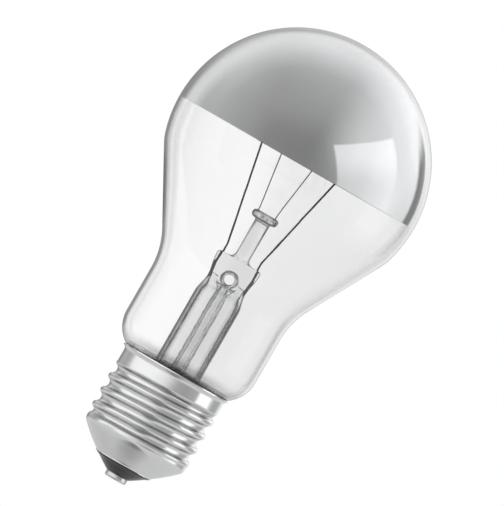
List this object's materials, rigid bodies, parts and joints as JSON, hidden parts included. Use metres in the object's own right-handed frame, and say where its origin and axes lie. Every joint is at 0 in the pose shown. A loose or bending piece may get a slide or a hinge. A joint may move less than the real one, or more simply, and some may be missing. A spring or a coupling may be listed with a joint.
{
  "type": "crown mirror filament lamp",
  "caption": "Clear screw-cap filament lamp with a mirrored crown, a coarse-threaded cap, a black insulator and the glass stem, leads, supports and coil inside.",
  "frame": {"origin": "centre of the centre contact's outer face", "axes": "+Z along the lamp's axis from the contact to the crown, +X towards the right-hand lead, the exhaust hole along Y"},
  "size_m": [0.0612, 0.0612, 0.1136],
  "materials": {
    "clear_glass": "clear blown glass",
    "mirror_layer": "silver mirror layer",
    "stem_glass": "clear stem glass",
    "molybdenum_wire": "drawn wire",
    "tungsten": "drawn wire",
    "nickel_wire": "bright wire",
    "copper_clad_wire": "red copper-clad wire",
    "copper_wire": "bright copper",
    "aluminium_sheet": "bright rolled sheet",
    "black_glass": "opaque black glass",
    "contact_plate": "tinned brass",
    "solder": "dull solder",
    "cement": "baked cement"
  },
  "bodies": {
    "root": {"glass_envelope": "clear_glass", "crown_mirror": "mirror_layer", "stem_flare": "stem_glass", "exhaust_tube": "stem_glass", "arbor_rod": "stem_glass", "support_wire_left": "molybdenum_wire", "support_wire_right": "molybdenum_wire", "filament": "tungsten", "inner_lead_left": "nickel_wire", "inner_lead_right": "nickel_wire", "seal_wire_left": "copper_clad_wire", "seal_wire_right": "copper_clad_wire", "outer_lead_side": "copper_wire", "outer_lead_centre": "copper_wire", "cap_shell": "aluminium_sheet", "insulator": "black_glass", "centre_contact": "contact_plate", "contact_solder": "solder", "side_solder": "solder", "basing_cement": "cement"}
  },
  "joints": []
}
